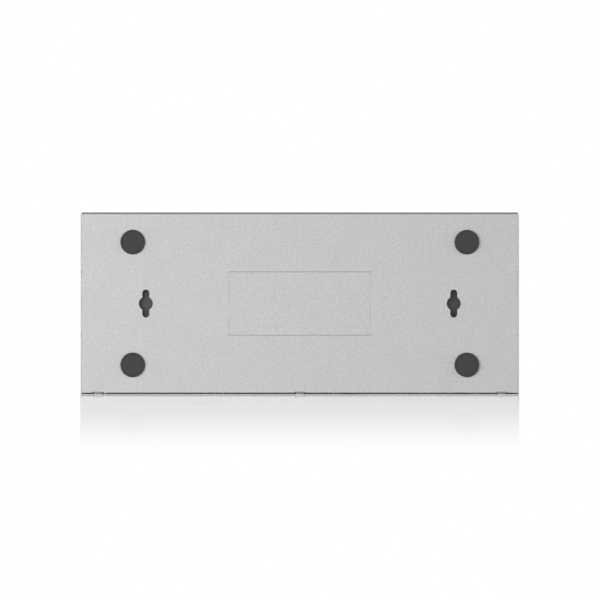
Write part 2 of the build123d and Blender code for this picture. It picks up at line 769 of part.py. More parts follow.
# Switch chip, moulded with sloped sides, under a finned heat sink
with BuildPart() as switch_chip:
    with BuildSketch(Plane.XY.offset(board_top_z)):
        with Locations((chip_x, chip_y)):
            Rectangle(chip_side, chip_side)
    extrude(amount=chip_height, taper=chip_slope)
switch_chip.part.label = "switch_chip"
export_step(switch_chip.part, "parts/switch_chip.step")

with BuildPart() as heat_sink:
    sink_z = board_top_z + chip_height
    with BuildSketch(Plane.XZ.offset(-(chip_y - sink_side / 2))):
        with Locations((chip_x, sink_z)):
            Rectangle(sink_side, sink_base, align=(Align.CENTER, Align.MIN))
        with Locations((chip_x, sink_z)):
            with GridLocations((sink_side - fin_thickness) / (fin_count - 1), 0, fin_count, 1):
                Rectangle(fin_thickness, sink_height, align=(Align.CENTER, Align.MIN))
    extrude(amount=-sink_side)
heat_sink.part.label = "heat_sink"
export_step(heat_sink.part, "parts/heat_sink.step")

# Transformers, one behind each pair of ports
transformer_y = transformer_rear_y - transformer_depth / 2
for number in range(1, len(port_places) // 2 + 1):
    transformer_x = (port_places[2 * number - 2] + port_places[2 * number - 1]) / 2
    with BuildPart() as transformer:
        with BuildSketch(Plane.XY.offset(board_top_z)):
            with Locations((transformer_x, transformer_y)):
                Rectangle(transformer_width, transformer_depth)
        extrude(amount=transformer_height, taper=transformer_slope)
    transformer.part.label = f"transformer_{number}"
    export_step(transformer.part, f"parts/transformer_{number}.step")

# Places of the other parts on the board
crystal_place = (chip_x + sink_side, chip_y - sink_side / 4)
memory_place = (chip_x + sink_side, chip_y + sink_side / 4)
capacitor_y = dc_face_y - dc_length - capacitor_diameter
inductor_y = capacitor_y - capacitor_diameter - inductor_side / 2
regulator_place = (dc_x - inductor_side, inductor_y)
inductor_place = (dc_x + inductor_side, inductor_y)

# Quartz crystal in a drawn can
with BuildPart() as crystal:
    with BuildSketch(Plane.XY.offset(board_top_z)):
        with Locations(crystal_place):
            Rectangle(crystal_length, crystal_width)
    extrude(amount=crystal_height)
    chamfer(crystal.edges().filter_by(Axis.Z), length=crystal_corner)
crystal.part.label = "crystal"
export_step(crystal.part, "parts/crystal.step")

# Power inductor, a square shell with cut corners round its winding
with BuildPart() as power_inductor:
    with BuildSketch(Plane.XY.offset(board_top_z)):
        with Locations(inductor_place):
            Rectangle(inductor_side, inductor_side)
    extrude(amount=inductor_height)
    chamfer(power_inductor.edges().filter_by(Axis.Z), length=inductor_corner)
power_inductor.part.label = "power_inductor"
export_step(power_inductor.part, "parts/power_inductor.step")

# Electrolytic capacitors, plain round cans
for number, side in enumerate((-1, 1), start=1):
    with BuildPart() as capacitor:
        with BuildSketch(Plane.XY.offset(board_top_z)):
            with Locations((dc_x + side * capacitor_pitch / 2, capacitor_y)):
                Circle(capacitor_diameter / 2)
        extrude(amount=case_top_z - cover_sheet - capacitor_headroom - board_top_z)
    capacitor.part.label = f"capacitor_{number}"
    export_step(capacitor.part, f"parts/capacitor_{number}.step")

# Voltage regulator and setup memory, small moulded chips
for chip_name, chip_place in (("regulator_chip", regulator_place), ("memory_chip", memory_place)):
    with BuildPart() as small_chip:
        with BuildSketch(Plane.XY.offset(board_top_z)):
            with Locations(chip_place):
                Rectangle(small_chip_length, small_chip_width)
        extrude(amount=small_chip_height, taper=chip_slope)
    small_chip.part.label = chip_name
    export_step(small_chip.part, f"parts/{chip_name}.step")
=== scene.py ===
import logging
import math
from dataclasses import dataclass, field
from enum import Enum
from typing import Dict, List, Sequence, Tuple

import bmesh
import bpy
from mathutils import Matrix, Vector


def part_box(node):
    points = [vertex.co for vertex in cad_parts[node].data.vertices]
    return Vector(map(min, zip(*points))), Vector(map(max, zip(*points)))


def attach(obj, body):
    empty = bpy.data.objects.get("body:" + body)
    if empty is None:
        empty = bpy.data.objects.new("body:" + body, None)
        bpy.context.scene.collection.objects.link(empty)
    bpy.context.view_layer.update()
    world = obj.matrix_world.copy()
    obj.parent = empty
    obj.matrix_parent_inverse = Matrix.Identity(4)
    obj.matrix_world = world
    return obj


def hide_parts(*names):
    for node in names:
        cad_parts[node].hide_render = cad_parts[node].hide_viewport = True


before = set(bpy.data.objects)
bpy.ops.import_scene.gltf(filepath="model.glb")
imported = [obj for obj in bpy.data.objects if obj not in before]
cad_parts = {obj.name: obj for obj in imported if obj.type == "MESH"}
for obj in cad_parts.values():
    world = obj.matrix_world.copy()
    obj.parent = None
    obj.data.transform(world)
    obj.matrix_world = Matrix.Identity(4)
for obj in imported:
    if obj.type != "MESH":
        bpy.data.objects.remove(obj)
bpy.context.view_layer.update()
LOG = logging.getLogger("switch")

MM = 0.001
ROUND_STEPS = 6
Point = Tuple[float, float, float]
Pair = Tuple[float, float]
Colour = Tuple[float, float, float]


class Hand(Enum):
    """The two ends of the case, seen from the front."""

    LEFT = -1
    RIGHT = 1


class Slot(Enum):
    """Material slots of the record, passed along with new pieces."""

    RUBBER = "rubber"
    SCREW = "screw_steel"
    PIN = "plated_pin"
    CONTACT = "contact_gold"
    CHIP = "chip_plastic"


# Shader helpers


class Nodes:
    """A node tree with short ways to add and join nodes."""

    def __init__(self, tree: bpy.types.NodeTree) -> None:
        """Keeps the tree and empties it."""
        self.tree = tree
        tree.nodes.clear()

    def add(self, kind: str, **settings: object) -> bpy.types.Node:
        """Adds a node.

        Args:
            kind: the node's bl_idname.
            settings: properties to set on it.

        Returns:
            The new node.
        """
        node = self.tree.nodes.new(kind)
        for name, value in settings.items():
            setattr(node, name, value)
        return node

    def join(self, source: object, target: bpy.types.NodeSocket) -> None:
        """Feeds an input.

        Args:
            source: a socket to link, or a plain value.
            target: the input.
        """
        if isinstance(source, bpy.types.NodeSocket):
            self.tree.links.new(source, target)
        else:
            target.default_value = source

    def feed(self, node: bpy.types.Node, **values: object) -> bpy.types.Node:
        """Feeds inputs of a node.

        Args:
            node: the node.
            values: a socket or a plain value by the input's name, with _ for a space.

        Returns:
            The node.
        """
        for label, value in values.items():
            self.join(value, node.inputs[label.replace("_", " ")])
        return node

    def group(self, tree: bpy.types.NodeTree, **values: object) -> bpy.types.Node:
        """Adds a node group and feeds its inputs."""
        return self.feed(self.add("ShaderNodeGroup", node_tree=tree), **values)

    def maths(self, operation: str, *values: object, clamp: bool = False) -> bpy.types.NodeSocket:
        """Adds a Math node.

        Args:
            operation: its operation.
            values: a number or a socket for each input.
            clamp: whether the result is kept between 0 and 1.

        Returns:
            Its output socket.
        """
        node = self.add("ShaderNodeMath", operation=operation, use_clamp=clamp)
        for place, value in enumerate(values):
            self.join(value, node.inputs[place])
        return node.outputs[0]

    def soft_step(self, value: bpy.types.NodeSocket, low: float, high: float) -> bpy.types.NodeSocket:
        """Adds a smooth step.

        Args:
            value: the socket it reads.
            low: where the result is 0.
            high: where the result is 1.

        Returns:
            Its output socket.
        """
        node = self.add("ShaderNodeMapRange", interpolation_type="SMOOTHSTEP")
        return self.feed(node, From_Min=low, From_Max=high, Value=value).outputs["Result"]

    def ramp(self, value: bpy.types.NodeSocket, stops: Sequence[Pair]) -> bpy.types.NodeSocket:
        """Adds a ramp of grey values.

        Args:
            value: the socket it reads, from 0 to 1.
            stops: place and value of each stop.

        Returns:
            Its colour socket.
        """
        node = self.add("ShaderNodeValToRGB")
        spots = node.color_ramp.elements
        while len(spots) < len(stops):
            spots.new(0.5)
        for spot, (place, grey) in zip(spots, stops):
            spot.position = place
            spot.color = (grey, grey, grey, 1.0)
        return self.feed(node, Fac=value).outputs["Color"]

    def mix(self, mask: bpy.types.NodeSocket, low: object, high: object) -> bpy.types.NodeSocket:
        """Mixes two colours.

        Args:
            mask: 0 gives low and 1 gives high.
            low: a plain colour or a socket.
            high: a plain colour or a socket.

        Returns:
            The colour socket.
        """
        node = self.add("ShaderNodeMix", data_type="RGBA")
        self.join(mask, node.inputs[0])
        for place, colour in ((6, low), (7, high)):
            self.join((*colour, 1.0) if isinstance(colour, tuple) else colour, node.inputs[place])
        return node.outputs[2]

    def mix_shaders(self, mask: bpy.types.NodeSocket, first: bpy.types.Node, second: bpy.types.Node) -> bpy.types.Node:
        """Mixes two shaders.

        Args:
            mask: 0 gives the first and 1 gives the second.
            first: a shader node.
            second: a shader node.

        Returns:
            The node of the mix.
        """
        node = self.add("ShaderNodeMixShader")
        for place, source in enumerate((mask, first.outputs[0], second.outputs[0])):
            self.join(source, node.inputs[place])
        return node

    def where(self, kind: str = "Object") -> bpy.types.NodeSocket:
        """Reads coordinates of one kind."""
        return self.add("ShaderNodeTexCoord").outputs[kind]

    def axes(self, kind: str = "Object") -> bpy.types.Node:
        """Splits coordinates of one kind into X, Y and Z."""
        return self.feed(self.add("ShaderNodeSeparateXYZ"), Vector=self.where(kind))

    def facing_up(self) -> bpy.types.NodeSocket:
        """Reads the Z of the surface normal."""
        normal = self.add("ShaderNodeNewGeometry").outputs["Normal"]
        return self.feed(self.add("ShaderNodeSeparateXYZ"), Vector=normal).outputs["Z"]

    def noise(self, where: bpy.types.NodeSocket, scale: object, detail: float) -> bpy.types.Node:
        """Adds a noise texture.

        Args:
            where: the coordinates it reads.
            scale: a number or a socket.
            detail: its octaves.

        Returns:
            The texture node.
        """
        return self.feed(self.add("ShaderNodeTexNoise"), Vector=where, Scale=scale, Detail=detail)


def new_material(name: str) -> Tuple[bpy.types.Material, Nodes, bpy.types.NodeSocket]:
    """Starts a material.

    Args:
        name: the material's name.

    Returns:
        The material, its nodes and the surface socket of its output.
    """
    material = bpy.data.materials.new(name)
    material.use_nodes = True
    nodes = Nodes(material.node_tree)
    return material, nodes, nodes.add("ShaderNodeOutputMaterial").inputs["Surface"]


def new_group(name: str, inputs: Dict[str, float], outputs: Sequence[str]) -> Nodes:
    """Starts a shader node group with float sockets.

    Args:
        name: the group's name.
        inputs: name and first value of each input.
        outputs: names of the outputs.

    Returns:
        The group's tree, with its Group Input and Group Output already in it.
    """
    tree = bpy.data.node_groups.new(name, "ShaderNodeTree")
    for label, value in inputs.items():
        socket = tree.interface.new_socket(label, in_out="INPUT", socket_type="NodeSocketFloat")
        socket.default_value = value
    for label in outputs:
        tree.interface.new_socket(label, in_out="OUTPUT", socket_type="NodeSocketFloat")
    nodes = Nodes(tree)
    nodes.add("NodeGroupInput", name="in")
    nodes.add("NodeGroupOutput", name="out")
    return nodes


@dataclass
class Effects:
    """Surface effects that several finishes share, one node group each."""

    pebble_share: float = 0.8
    pebble_depth: float = 0.6
    cloud_share: float = 0.06
    cloud_weight: float = 0.12
    grain: bpy.types.NodeTree = field(init=False)
    sheen: bpy.types.NodeTree = field(init=False)
    dust: bpy.types.NodeTree = field(init=False)

    def __post_init__(self) -> None:
        """Builds the groups."""
        self.grain = self.build_grain()
        self.sheen = self.build_sheen()
        self.dust = self.build_dust()

    def build_grain(self) -> bpy.types.NodeTree:
        """Fine speckle and soft pebbling of a coated or moulded surface.

        Returns:
            The group, with a Shade mask and a Height.
        """
        nodes = new_group("fine grain", {"Scale": 1500.0, "Contrast": 1.0}, ["Shade", "Height"])
        source, out = nodes.tree.nodes["in"], nodes.tree.nodes["out"]
        where = nodes.where()
        scale = source.outputs["Scale"]
        speckle = nodes.feed(nodes.noise(where, scale, 3.0), Roughness=0.65)
        pebbles = nodes.feed(nodes.add("ShaderNodeTexVoronoi", feature="SMOOTH_F1"), Vector=where,
                             Scale=nodes.maths("MULTIPLY", scale, self.pebble_share), Smoothness=0.8)
        cloud = nodes.noise(where, nodes.maths("MULTIPLY", scale, self.cloud_share), 2.0)
        centred = nodes.maths("SUBTRACT", speckle.outputs["Fac"], 0.5)
        wide = nodes.maths("MULTIPLY", nodes.maths("SUBTRACT", cloud.outputs["Fac"], 0.5), self.cloud_weight)
        total = nodes.maths("ADD", centred, wide)
        strong = nodes.maths("MULTIPLY", total, source.outputs["Contrast"])
        nodes.join(nodes.maths("ADD", strong, 0.5, clamp=True), out.inputs["Shade"])
        hollows = nodes.maths("MULTIPLY", pebbles.outputs["Distance"], -self.pebble_depth)
        nodes.join(nodes.maths("ADD", hollows, speckle.outputs["Fac"]), out.inputs["Height"])
        return nodes.tree

    def build_sheen(self) -> bpy.types.NodeTree:
        """Roughness that drifts from place to place, as handled surfaces do.

        Returns:
            The group, with a Roughness value.
        """
        nodes = new_group("uneven sheen", {"Roughness": 0.5, "Spread": 0.1, "Scale": 60.0}, ["Roughness"])
        source, out = nodes.tree.nodes["in"], nodes.tree.nodes["out"]
        where = nodes.where()
        smudge = nodes.noise(where, source.outputs["Scale"], 4.0)
        drift = nodes.maths("MULTIPLY", nodes.maths("SUBTRACT", smudge.outputs["Fac"], 0.5), source.outputs["Spread"])
        nodes.join(nodes.maths("ADD", source.outputs["Roughness"], drift, clamp=True), out.inputs["Roughness"])
        return nodes.tree

    def build_dust(self) -> bpy.types.NodeTree:
        """Thin dust on faces that look up.

        Returns:
            The group, with a Mask.
        """
        nodes = new_group("settled dust", {"Amount": 0.1, "Scale": 220.0}, ["Mask"])
        source, out = nodes.tree.nodes["in"], nodes.tree.nodes["out"]
        where = nodes.where()
        upward = nodes.maths("MULTIPLY", nodes.facing_up(), 1.0, clamp=True)
        specks = nodes.noise(where, source.outputs["Scale"], 5.0)
        patchy = nodes.maths("MULTIPLY", specks.outputs["Fac"], upward)
        nodes.join(nodes.maths("MULTIPLY", patchy, source.outputs["Amount"], clamp=True), out.inputs["Mask"])
        return nodes.tree


@dataclass(frozen=True)
class Finish:
    """An opaque surface: a colour that varies finely, a sheen that drifts, a fine relief."""

    name: str
    dark: Colour
    light: Colour
    roughness: float = 0.5
    spread: float = 0.1
    metallic: float = 0.0
    grain_scale: float = 1500.0
    contrast: float = 1.0
    relief: float = 0.2
    relief_depth: float = 0.02 * MM
    dust: float = 0.0
    coat: float = 0.0
    dust_colour: Colour = (0.5, 0.49, 0.47)

    def build(self, effects: Effects) -> bpy.types.Material:
        """Builds the material.

        Args:
            effects: the shared node groups.

        Returns:
            The material.
        """
        material, nodes, surface = new_material(self.name)
        grain = nodes.group(effects.grain, Scale=self.grain_scale, Contrast=self.contrast)
        sheen = nodes.group(effects.sheen, Roughness=self.roughness, Spread=self.spread)
        bump = nodes.feed(nodes.add("ShaderNodeBump"), Strength=self.relief, Distance=self.relief_depth,
                          Height=grain.outputs["Height"])
        shader = nodes.feed(nodes.add("ShaderNodeBsdfPrincipled"), Metallic=self.metallic, Coat_Weight=self.coat,
                            Roughness=sheen.outputs["Roughness"], Normal=bump.outputs["Normal"],
                            Base_Color=self.colour(nodes, grain.outputs["Shade"], effects))
        nodes.join(shader.outputs[0], surface)
        return material

    def colour(self, nodes: Nodes, speckle: bpy.types.NodeSocket, effects: Effects) -> bpy.types.NodeSocket:
        """The colour, with dust on it where the finish has any.

        Args:
            nodes: the material's nodes.
            speckle: the grain's mask.
            effects: the shared node groups.

        Returns:
            A colour socket.
        """
        plain = nodes.mix(speckle, self.dark, self.light)
        if not self.dust:
            return plain
        dust = nodes.group(effects.dust, Amount=self.dust)
        return nodes.mix(dust.outputs["Mask"], plain, self.dust_colour)


@dataclass(frozen=True)
class BrushedFinish(Finish):
    """Rolled or plated sheet, with fine lines along the length of the case."""

    metallic: float = 1.0
    line_scale: float = 900.0
    line_stretch: float = 0.04

    def colour(self, nodes: Nodes, speckle: bpy.types.NodeSocket, effects: Effects) -> bpy.types.NodeSocket:
        """The colour, in fine lines and without dust.

        Args:
            nodes: the material's nodes.
            speckle: the grain's mask.
            effects: the shared node groups, unused here.

        Returns:
            A colour socket.
        """
        stretch = nodes.feed(nodes.add("ShaderNodeMapping"), Vector=nodes.where(), Scale=(self.line_stretch, 1.0, 1.0))
        lines = nodes.noise(stretch.outputs["Vector"], self.line_scale, 2.0)
        mixed = nodes.maths("MULTIPLY", nodes.maths("ADD", lines.outputs["Fac"], speckle), 0.5)
        return nodes.mix(mixed, self.dark, self.light)


@dataclass(frozen=True)
class PaintedShadeBand:
    """A band along X where shade is painted into the colour; each pair, in millimetres, is where it fades in and where
    it is full.
    """

    amount: float
    y_start: Pair
    y_end: Pair
    z_start: Pair
    z_end: Pair

    def build(self, nodes: Nodes, axes: bpy.types.Node) -> bpy.types.NodeSocket:
        """Builds the mask.

        Args:
            nodes: the material's nodes.
            axes: the node that splits object coordinates.

        Returns:
            Its socket.
        """
        mask: object = self.amount
        for axis, (low, high) in (("Y", self.y_start), ("Y", self.y_end), ("Z", self.z_start), ("Z", self.z_end)):
            mask = nodes.maths("MULTIPLY", nodes.soft_step(axes.outputs[axis], low * MM, high * MM), mask)
        return mask


@dataclass(frozen=True)
class PaintFinish(Finish):
    """Powder coat, with painted shade in the front seam, along the rear fold and in the step of the field."""

    # Colour of the painted shade, and the bands where it darkens the paint.
    painted_shade: Colour = (0.10, 0.10, 0.105)
    shade_bands: Tuple[PaintedShadeBand, ...] = (
        # Painted shade in the front gap, over the tongues behind it.
        PaintedShadeBand(0.75, (-51.95, -51.3), (-49.4, -50.0), (2.2, 2.7), (7.0, 5.0)),
        # Painted shade on the lower edge of the front wall, in the gap.
        PaintedShadeBand(0.85, (-51.76, -51.66), (-50.8, -50.9), (1.4, 1.8), (2.6, 2.3)),
        # Painted shade along the rear fold.
        PaintedShadeBand(0.72, (50.85, 51.1), (53.0, 52.5), (0.0, 1.0), (3.7, 3.1)),
        # Painted shade in the steps at both long sides of the field.
        PaintedShadeBand(0.5, (17.2, 17.5), (19.0, 18.7), (2.02, 2.07), (2.39, 2.34)),
        PaintedShadeBand(0.5, (-19.0, -18.7), (-17.2, -17.5), (2.02, 2.07), (2.39, 2.34)),
    )

    def colour(self, nodes: Nodes, speckle: bpy.types.NodeSocket, effects: Effects) -> bpy.types.NodeSocket:
        """The plain colour, darkened by painted shade in the bands.

        Args:
            nodes: the material's nodes.
            speckle: the grain's mask.
            effects: the shared node groups.

        Returns:
            A colour socket.
        """
        # Painted shade: each band darkens the paint towards the shade colour.
        axes = nodes.axes()
        mask: object = 0.0
        for band in self.shade_bands:
            mask = nodes.maths("MAXIMUM", band.build(nodes, axes), mask)
        return nodes.mix(mask, super().colour(nodes, speckle, effects), self.painted_shade)


@dataclass(frozen=True)
class BoardFinish(Finish):
    """Solder mask over copper tracks, with bare board at the cut edges."""

    track: Colour = (0.05, 0.26, 0.11)
    core: Colour = (0.36, 0.33, 0.16)
    track_pitch: float = 1.3 * MM
    track_share: float = 0.32
    empty_share: float = 0.35
    cell_scale: float = 90.0

    def colour(self, nodes: Nodes, speckle: bpy.types.NodeSocket, effects: Effects) -> bpy.types.NodeSocket:
        """The colour of the mask, its tracks and the cut edges.

        Args:
            nodes: the material's nodes.
            speckle: the grain's mask.
            effects: the shared node groups, unused here.

        Returns:
            A colour socket.
        """
        cells = nodes.feed(nodes.add("ShaderNodeTexVoronoi", feature="F1", distance="CHEBYCHEV"),
                           Vector=nodes.where(), Scale=self.cell_scale)
        split = nodes.feed(nodes.add("ShaderNodeSeparateColor"), Color=cells.outputs["Color"])
        axes = nodes.axes()
        turned = nodes.maths("GREATER_THAN", split.outputs["Red"], 0.5)
        along = nodes.maths("MULTIPLY", axes.outputs["X"], turned)
        across = nodes.maths("MULTIPLY", axes.outputs["Y"], nodes.maths("SUBTRACT", 1.0, turned))
        run = nodes.maths("DIVIDE", nodes.maths("ADD", along, across), self.track_pitch)
        line = nodes.maths("LESS_THAN", nodes.maths("FRACT", run), self.track_share)
        routed = nodes.maths("GREATER_THAN", split.outputs["Green"], self.empty_share)
        lacquer = nodes.mix(speckle, self.dark, self.light)
        tracks = nodes.mix(nodes.maths("MULTIPLY", line, routed), lacquer, self.track)
        upright = nodes.maths("LESS_THAN", nodes.maths("ABSOLUTE", nodes.facing_up()), 0.5)
        return nodes.mix(upright, tracks, self.core)


@dataclass(frozen=True)
class ClearFinish:
    """Clear moulded plastic, a little cloudy."""

    name: str
    tint: Colour
    roughness: float = 0.12
    clearness: float = 0.7
    ior: float = 1.49
    cloudiness: float = 0.1

    def build(self, effects: Effects) -> bpy.types.Material:
        """Builds the material.

        Args:
            effects: the shared node groups.

        Returns:
            The material.
        """
        material, nodes, surface = new_material(self.name)
        grain = nodes.group(effects.grain, Scale=500.0, Contrast=1.0)
        sheen = nodes.group(effects.sheen, Roughness=self.roughness, Spread=0.08, Scale=180.0)
        cloudy = tuple(value * (1 - self.cloudiness) for value in self.tint)
        shader = nodes.feed(nodes.add("ShaderNodeBsdfPrincipled"), Transmission_Weight=self.clearness, IOR=self.ior,
                            Roughness=sheen.outputs["Roughness"],
                            Base_Color=nodes.mix(grain.outputs["Shade"], cloudy, self.tint))
        nodes.join(shader.outputs[0], surface)
        return material


@dataclass
class Palette:
    """Every finish of the switch, built once."""

    effects: Effects = field(default_factory=Effects)
    made: Dict[str, bpy.types.Material] = field(default_factory=dict)
    finishes: Tuple[object, ...] = (
        PaintFinish("case_paint", (0.49, 0.496, 0.509), (0.67, 0.677, 0.691), roughness=0.42, spread=0.08,
                    grain_scale=930.0, contrast=1.9, relief=0.35, relief_depth=0.05 * MM, dust=0.05),
        Finish("foot_rubber", (0.0265, 0.0275, 0.0295), (0.043, 0.0445, 0.048), roughness=0.72, spread=0.12,
               grain_scale=1800.0, relief=0.4, relief_depth=0.04 * MM, dust=0.04),
        Finish("black_plastic", (0.014, 0.014, 0.015), (0.028, 0.028, 0.03), roughness=0.42, spread=0.12,
               grain_scale=2600.0, relief=0.25, dust=0.06),
        Finish("chip_plastic", (0.018, 0.018, 0.02), (0.036, 0.036, 0.039), roughness=0.58,
               grain_scale=3200.0, contrast=1.2, relief=0.35, dust=0.1),
        Finish("film", (0.024, 0.025, 0.027), (0.048, 0.05, 0.053), spread=0.15,
               grain_scale=700.0, contrast=0.8, relief=0.12, relief_depth=0.03 * MM),
        Finish("ferrite", (0.06, 0.06, 0.062), (0.11, 0.108, 0.105), roughness=0.7,
               grain_scale=2200.0, contrast=1.4, relief=0.5, relief_depth=0.04 * MM, dust=0.1),
        BrushedFinish("shield_steel", (0.60, 0.59, 0.56), (0.78, 0.77, 0.74), roughness=0.3, spread=0.12,
                      grain_scale=1800.0, contrast=0.8, relief=0.08),
        BrushedFinish("plated_steel", (0.50, 0.50, 0.49), (0.68, 0.68, 0.66), roughness=0.34, spread=0.14, relief=0.1),
        BrushedFinish("screw_steel", (0.46, 0.455, 0.44), (0.62, 0.615, 0.60), roughness=0.3, spread=0.12, relief=0.1),
        BrushedFinish("plated_pin", (0.64, 0.62, 0.57), (0.80, 0.78, 0.73), roughness=0.2, spread=0.08,
                      contrast=0.8, relief=0.05),
        Finish("contact_gold", (0.72, 0.50, 0.20), (0.88, 0.66, 0.32), roughness=0.22,
               metallic=1.0, contrast=0.8, relief=0.06),
        BrushedFinish("heat_sink", (0.52, 0.53, 0.54), (0.68, 0.69, 0.70), roughness=0.4, spread=0.12,
                      grain_scale=1400.0, contrast=0.9, relief=0.12),
        Finish("capacitor_can", (0.62, 0.63, 0.64), (0.76, 0.77, 0.78), roughness=0.3,
               metallic=1.0, grain_scale=900.0, contrast=0.7, relief=0.08),
        BoardFinish("board", (0.018, 0.14, 0.055), (0.03, 0.19, 0.08), roughness=0.32, spread=0.08,
                    grain_scale=900.0, contrast=0.8, relief=0.08, coat=0.3),
        ClearFinish("clear_guide", (0.92, 0.94, 0.95)),
        ClearFinish("led_lens", (0.86, 0.88, 0.80), roughness=0.22, clearness=0.35),
    )

    def __post_init__(self) -> None:
        """Builds every finish."""
        for finish in self.finishes:
            self.made[finish.name] = finish.build(self.effects)

    def dress(self, piece: bpy.types.Object, name: str) -> None:
        """Gives a piece or a CAD node one finish."""
        piece.data.materials.clear()
        piece.data.materials.append(self.made[name])


# Mesh helpers


def shade(shape: bmesh.types.BMesh, smooth_below: float = 35.0) -> None:
    """Shades a mesh smooth, apart from its sharper edges.

    Args:
        shape: the mesh.
        smooth_below: edges with a smaller angle, in degrees, are shaded smooth.
    """
    limit = math.radians(smooth_below)
    for face in shape.faces:
        face.smooth = True
    for edge in shape.edges:
        edge.smooth = len(edge.link_faces) == 2 and edge.calc_face_angle(0.0) < limit


def as_object(name: str, shape: bmesh.types.BMesh, smooth_below: float = 35.0) -> bpy.types.Object:
    """Turns a bmesh into a linked object.

    Args:
        name: the object's name.
        shape: the mesh, which is freed.
        smooth_below: edges with a smaller angle, in degrees, are shaded smooth.

    Returns:
        The object.
    """
    bmesh.ops.recalc_face_normals(shape, faces=shape.faces)
    shade(shape, smooth_below)
    mesh = bpy.data.meshes.new(name)
    shape.to_mesh(mesh)
    shape.free()
    piece = bpy.data.objects.new(name, mesh)
    bpy.context.scene.collection.objects.link(piece)
    return piece


def lathe(shape: bmesh.types.BMesh, profile: Sequence[Pair], turn: Matrix, steps: int = 64) -> None:
    """Adds a turned solid.

    Args:
        shape: the mesh to add to.
        profile: radius and height of each ring, in metres; a radius of 0 closes an end.
        turn: places the axis (local Z) in the row frame.
        steps: facets round the axis.
    """
    rings: List[List[bmesh.types.BMVert]] = []
    for radius, height in profile:
        if radius < 1e-9:
            rings.append([shape.verts.new(turn @ Vector((0, 0, height)))])
            continue
        angles = [2 * math.pi * n / steps for n in range(steps)]
        rings.append([
            shape.verts.new(turn @ Vector((radius * math.cos(a), radius * math.sin(a), height)))
            for a in angles
        ])
    for low, high in zip(rings, rings[1:]):
        for n in range(steps):
            m = (n + 1) % steps
            if len(low) == 1 and len(high) > 1:
                shape.faces.new((low[0], high[n], high[m]))
            elif len(high) == 1 and len(low) > 1:
                shape.faces.new((low[n], low[m], high[0]))
            elif len(low) > 1:
                shape.faces.new((low[n], low[m], high[m], high[n]))


def block(shape: bmesh.types.BMesh, low: Point, high: Point, bevel: float = 0.0) -> None:
    """Adds a box with bevelled edges.

    Args:
        shape: the mesh to add to.
        low: its lowest corner, in metres.
        high: its highest corner.
        bevel: width of the bevel.
    """
    corners = bmesh.ops.create_cube(shape, size=1.0)["verts"]
    size = [h - l for l, h in zip(low, high)]
    for vert in corners:
        vert.co = Vector([l + (c + 0.5) * s for l, c, s in zip(low, vert.co, size)])
    if bevel:
        edges = {edge for vert in corners for edge in vert.link_edges}
        bmesh.ops.bevel(shape, geom=list(edges), offset=bevel, segments=2, profile=0.5, affect="EDGES")


def sweep(shape: bmesh.types.BMesh, path: Sequence[Point], width: float, thickness: float, steps: int = 8) -> None:
    """Adds a wire or strip that follows a path in a plane of constant X.

    Args:
        shape: the mesh to add to.
        path: points of its middle line, in metres.
        width: along X.
        thickness: across the path.
        steps: facets round the wire.
    """
    points = [Vector(p) for p in path]
    across = Vector((1, 0, 0))
    rings: List[List[bmesh.types.BMVert]] = []
    for n, point in enumerate(points):
        ahead = points[min(n + 1, len(points) - 1)] - points[max(n - 1, 0)]
        side = across.cross(ahead.normalized())
        ring = []
        for k in range(steps):
            angle = 2 * math.pi * (k + 0.5) / steps
            offset = across * (math.cos(angle) * width / 2) + side * (math.sin(angle) * thickness / 2)
            ring.append(shape.verts.new(point + offset))
        rings.append(ring)
    for low, high in zip(rings, rings[1:]):
        for k in range(steps):
            m = (k + 1) % steps
            shape.faces.new((low[k], low[m], high[m], high[k]))
    shape.faces.new(rings[0][::-1])
    shape.faces.new(rings[-1])


def rounded(path: Sequence[Pair], radius: float, steps: int = 5) -> List[Pair]:
    """Rounds the corners of an open path.

    Args:
        path: its points in a plane.
        radius: distance from a corner at which its round starts, at most.
        steps: points in each round.

    Returns:
        The path with each inner corner replaced by a smooth run.
    """
    result = [path[0]]
    for before, corner, after in zip(path, path[1:], path[2:]):
        a, c, b = Vector(before), Vector(corner), Vector(after)
        reach = min(radius, (a - c).length * 0.45, (b - c).length * 0.45)
        start, end = c + (a - c).normalized() * reach, c + (b - c).normalized() * reach
        for n in range(steps + 1):
            t = n / steps
            spot = start * (1 - t) ** 2 + c * (2 * t * (1 - t)) + end * t ** 2
            result.append((spot.x, spot.y))
    result.append(path[-1])
    return result


def cut(piece: bpy.types.Object, tool: bpy.types.Object) -> None:
    """Cuts one object out of another.

    Args:
        piece: the object to cut.
        tool: the object to cut with, which is removed.
    """
    modifier = piece.modifiers.new("cut", "BOOLEAN")
    modifier.operation = "DIFFERENCE"
    modifier.solver = "EXACT"
    modifier.object = tool
    bpy.context.view_layer.update()
    done = piece.evaluated_get(bpy.context.evaluated_depsgraph_get())
    mesh = bpy.data.meshes.new_from_object(done)
    shape = bmesh.new()
    shape.from_mesh(mesh)
    shade(shape)
    shape.to_mesh(mesh)
    shape.free()
    piece.modifiers.clear()
    piece.data = mesh
    bpy.data.objects.remove(tool)


@dataclass
class Assembly:
    """A group of pieces of the switch that belong together."""

    palette: Palette

    def settle(self, piece: bpy.types.Object, finish: str, slot: Slot, replaced: Sequence[str] = ()) -> None:
        """Dresses a new piece and ties it to the CAD body.

        Args:
            piece: the new object.
            finish: name of its finish.
            slot: the record's slot of its finish; not used.
            replaced: CAD nodes it stands for.
        """
        self.palette.dress(piece, finish)
        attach(piece, "root")
        if replaced:
            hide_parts(*replaced)
        LOG.info("piece %s: %d faces", piece.name, len(piece.data.polygons))

    def dress_nodes(self, finish: str, names: Sequence[str]) -> None:
        """Gives one finish to CAD nodes that stay as they are.

        Args:
            finish: name of the finish.
            names: the nodes.
        """
        for name in names:
            self.palette.dress(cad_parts[name], finish)
            LOG.info("node %s: %s", name, finish)


# The switch


